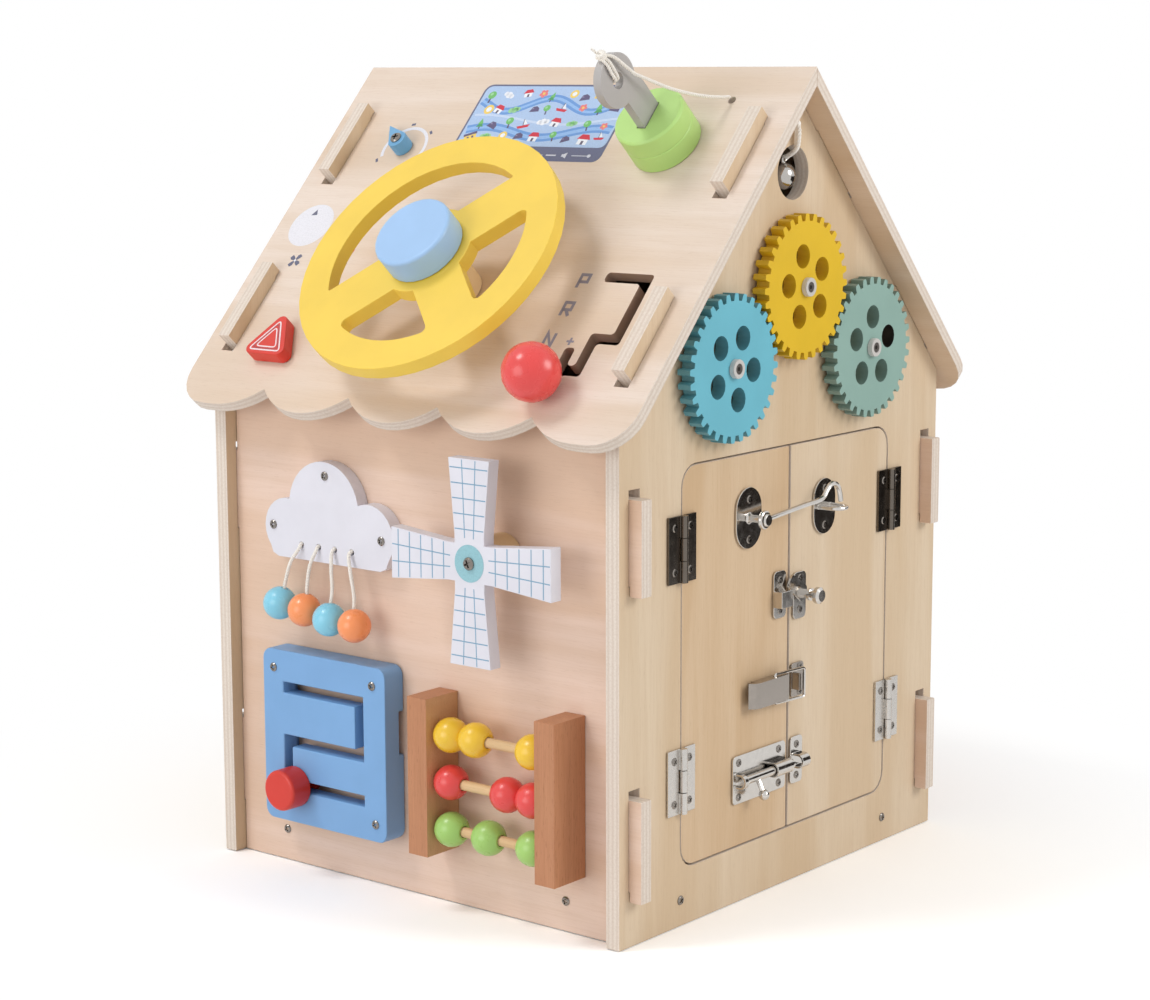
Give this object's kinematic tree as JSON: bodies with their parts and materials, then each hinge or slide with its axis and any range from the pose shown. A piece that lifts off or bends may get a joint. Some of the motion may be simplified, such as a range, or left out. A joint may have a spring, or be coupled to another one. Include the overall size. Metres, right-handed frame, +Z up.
{
  "type": "activity house",
  "caption": "Plywood play house with hinged, latched doors, gears, a steering wheel, lock and key, maze, abacus, windmill and bead toys.",
  "frame": {"origin": "middle of the front wall's foot", "axes": "+Z up, +X to the right along the front wall towards the wall with the doors, +Y back into the house"},
  "size_m": [0.3185, 0.3559, 0.4525],
  "materials": {
    "birch": "clear matt lacquer on birch plywood",
    "pale_birch": "clear matt lacquer on birch plywood",
    "beech": "clear matt lacquer on solid beech",
    "nickel": "bright nickel plating",
    "wheel_yellow": "satin paint",
    "gear_yellow": "satin paint",
    "gear_blue": "satin paint",
    "gear_sage": "satin paint",
    "sky_blue": "satin paint",
    "maze_blue": "satin paint",
    "red": "gloss paint",
    "lock_green": "satin paint",
    "bead_green": "gloss paint",
    "bead_yellow": "gloss paint",
    "cyan": "gloss paint",
    "orange": "gloss paint",
    "white": "satin paint",
    "key_grey": "satin paint",
    "cotton": "plain cotton cord"
  },
  "bodies": {
    "house": {"front_panel": "birch", "back_panel": "birch", "right_gable": "pale_birch", "left_gable": "pale_birch", "floor_board": "birch", "front_roof": "birch", "back_roof": "birch", "hinge_frame_leaf_1": "nickel", "hinge_frame_leaf_2": "nickel", "hinge_frame_leaf_3": "nickel", "hinge_frame_leaf_4": "nickel", "cloud": "white", "maze_block": "maze_blue", "abacus_frame": "beech", "hazard_button": "red"},
    "left_door": {"left_door": "pale_birch", "hinge_door_leaf_1": "nickel", "hinge_door_leaf_2": "nickel", "hook_base": "nickel", "turn_staple": "nickel", "toggle_base": "nickel", "bolt_plate": "nickel"},
    "right_door": {"right_door": "pale_birch", "hinge_door_leaf_3": "nickel", "hinge_door_leaf_4": "nickel", "hook_eye": "nickel", "turn_base": "nickel", "toggle_catch": "nickel", "bolt_keeper": "nickel"},
    "wheel": {"steering_wheel": "wheel_yellow", "wheel_hub": "sky_blue"},
    "lock": {"lock_barrel": "lock_green"},
    "key": {"key": "key_grey", "key_cord": "cotton"},
    "hook": {"hook": "nickel"},
    "turn_knob": {"turn_knob": "nickel"},
    "toggle_lever": {"toggle_lever": "nickel"},
    "toggle_bail": {"toggle_bail": "nickel"},
    "bolt_rod": {"bolt_rod": "nickel"},
    "gear_yellow": {"gear_yellow": "gear_yellow"},
    "gear_blue": {"gear_blue": "gear_blue"},
    "gear_sage": {"gear_sage": "gear_sage"},
    "pointer_knob": {"pointer_knob": "sky_blue"},
    "shift_lever": {"shift_lever": "red"},
    "maze_knob": {"maze_knob": "red"},
    "windmill": {"windmill": "white"},
    "bell": {"bell": "nickel"},
    "bead_yellow_1": {"bead_yellow_1": "bead_yellow"},
    "bead_yellow_2": {"bead_yellow_2": "bead_yellow"},
    "bead_yellow_3": {"bead_yellow_3": "bead_yellow"},
    "bead_red_1": {"bead_red_1": "red"},
    "bead_red_2": {"bead_red_2": "red"},
    "bead_red_3": {"bead_red_3": "red"},
    "bead_green_1": {"bead_green_1": "bead_green"},
    "bead_green_2": {"bead_green_2": "bead_green"},
    "bead_green_3": {"bead_green_3": "bead_green"},
    "cloud_bead_1": {"cloud_bead_1": "cyan"},
    "cloud_bead_2": {"cloud_bead_2": "orange"},
    "cloud_bead_3": {"cloud_bead_3": "cyan"},
    "cloud_bead_4": {"cloud_bead_4": "orange"}
  },
  "joints": [
    {"name": "left_door_swing", "type": "hinge", "parent": "house", "child": "left_door", "pos_m": [0.1465, 0.03875, 0.1375], "axis": [0, 0, -1], "range_deg": [0, 110]},
    {"name": "right_door_swing", "type": "hinge", "parent": "house", "child": "right_door", "pos_m": [0.1465, 0.23675, 0.1375], "axis": [0, 0, 1], "range_deg": [0, 110]},
    {"name": "hook_swing", "type": "hinge", "parent": "left_door", "child": "hook", "pos_m": [0.1553, 0.09775, 0.2095], "axis": [1, 0, 0], "range_deg": [-4.5, 100]},
    {"name": "turn_catch_turn", "type": "hinge", "parent": "right_door", "child": "turn_knob", "pos_m": [0.147, 0.14625, 0.1615], "axis": [1, 0, 0], "range_deg": [-90, 35]},
    {"name": "toggle_lever_swing", "type": "hinge", "parent": "left_door", "child": "toggle_lever", "pos_m": [0.1485, 0.12555, 0.1135], "axis": [0, 0, 1], "range_deg": [0, 100]},
    {"name": "toggle_bail_swing", "type": "hinge", "parent": "toggle_lever", "child": "toggle_bail", "pos_m": [0.1492, 0.11775, 0.1135], "axis": [0, 0, 1], "range_deg": [-100, 0]},
    {"name": "bolt_slide", "type": "slide", "parent": "left_door", "child": "bolt_rod", "axis": [0, 1, 0], "range_m": [0, 0.0125]},
    {"name": "gear_yellow_spin", "type": "hinge", "parent": "house", "child": "gear_yellow", "pos_m": [0.1495, 0.13775, 0.3294], "axis": [1, 0, 0], "continuous": true},
    {"name": "gear_blue_spin", "type": "hinge", "parent": "house", "child": "gear_blue", "pos_m": [0.1495, 0.07245, 0.2917], "axis": [1, 0, 0], "continuous": true},
    {"name": "gear_sage_spin", "type": "hinge", "parent": "house", "child": "gear_sage", "pos_m": [0.1495, 0.20305, 0.2917], "axis": [1, 0, 0], "continuous": true},
    {"name": "bell_swing", "type": "hinge", "parent": "house", "child": "bell", "pos_m": [0.1459, 0.13775, 0.415], "axis": [0, -1, 0], "range_deg": [0, 60]},
    {"name": "wheel_spin", "type": "hinge", "parent": "house", "child": "wheel", "pos_m": [0.004, 0.00244, 0.35062], "axis": [0, -0.7373, 0.6756], "continuous": true},
    {"name": "lock_turn", "type": "hinge", "parent": "house", "child": "lock", "pos_m": [0.0885, 0.08364, 0.41999], "axis": [0, 0.7373, -0.6756], "range_deg": [0, 90]},
    {"name": "key_slide", "type": "slide", "parent": "lock", "child": "key", "axis": [0, -0.7373, 0.6756], "range_m": [0, 0.03]},
    {"name": "pointer_turn", "type": "hinge", "parent": "house", "child": "pointer_knob", "pos_m": [-0.09621, 0.09566, 0.39907], "axis": [0, -0.7373, 0.6756], "range_deg": [-100, 60]},
    {"name": "shift_slide", "type": "slide", "parent": "house", "child": "shift_lever", "axis": [0, 0.6756, 0.7373], "range_m": [0, 0.025]},
    {"name": "maze_slide", "type": "slide", "parent": "house", "child": "maze_knob", "axis": [1, 0, 0], "range_m": [-0.006, 0.048]},
    {"name": "windmill_spin", "type": "hinge", "parent": "house", "child": "windmill", "pos_m": [0.0625, -0.03225, 0.1948], "axis": [0, -1, 0], "continuous": true},
    {"name": "cloud_bead_1_swing", "type": "hinge", "parent": "house", "child": "cloud_bead_1", "pos_m": [-0.0772, -0.01415, 0.186], "axis": [-1, 0, 0], "range_deg": [0, 70]},
    {"name": "cloud_bead_2_swing", "type": "hinge", "parent": "house", "child": "cloud_bead_2", "pos_m": [-0.0642, -0.01415, 0.186], "axis": [-1, 0, 0], "range_deg": [0, 70]},
    {"name": "cloud_bead_3_swing", "type": "hinge", "parent": "house", "child": "cloud_bead_3", "pos_m": [-0.0521, -0.01415, 0.186], "axis": [-1, 0, 0], "range_deg": [0, 70]},
    {"name": "cloud_bead_4_swing", "type": "hinge", "parent": "house", "child": "cloud_bead_4", "pos_m": [-0.0393, -0.01415, 0.186], "axis": [-1, 0, 0], "range_deg": [0, 70]},
    {"name": "bead_yellow_1_slide", "type": "slide", "parent": "house", "child": "bead_yellow_1", "axis": [1, 0, 0], "range_m": [0, 0.0215]},
    {"name": "bead_yellow_2_slide", "type": "slide", "parent": "house", "child": "bead_yellow_2", "axis": [1, 0, 0], "range_m": [0, 0.0215]},
    {"name": "bead_yellow_3_slide", "type": "slide", "parent": "house", "child": "bead_yellow_3", "axis": [1, 0, 0], "range_m": [-0.0215, 0]},
    {"name": "bead_red_1_slide", "type": "slide", "parent": "house", "child": "bead_red_1", "axis": [1, 0, 0], "range_m": [0, 0.0215]},
    {"name": "bead_red_2_slide", "type": "slide", "parent": "house", "child": "bead_red_2", "axis": [1, 0, 0], "range_m": [-0.0215, 0]},
    {"name": "bead_red_3_slide", "type": "slide", "parent": "house", "child": "bead_red_3", "axis": [1, 0, 0], "range_m": [-0.0215, 0]},
    {"name": "bead_green_1_slide", "type": "slide", "parent": "house", "child": "bead_green_1", "axis": [1, 0, 0], "range_m": [0, 0.0085]},
    {"name": "bead_green_2_slide", "type": "slide", "parent": "house", "child": "bead_green_2", "axis": [1, 0, 0], "range_m": [-0.0085, 0.013]},
    {"name": "bead_green_3_slide", "type": "slide", "parent": "house", "child": "bead_green_3", "axis": [1, 0, 0], "range_m": [-0.013, 0]}
  ],
  "couplings": [
    {"joint": "right_door_swing", "follows": "left_door_swing", "ratio": 1},
    {"joint": "toggle_bail_swing", "follows": "toggle_lever_swing", "ratio": -1},
    {"joint": "gear_blue_spin", "follows": "gear_yellow_spin", "ratio": -1},
    {"joint": "gear_sage_spin", "follows": "gear_yellow_spin", "ratio": -1},
    {"joint": "bead_yellow_1_slide", "follows": "bead_yellow_2_slide", "ratio": 1},
    {"joint": "bead_red_3_slide", "follows": "bead_red_2_slide", "ratio": 1}
  ]
}
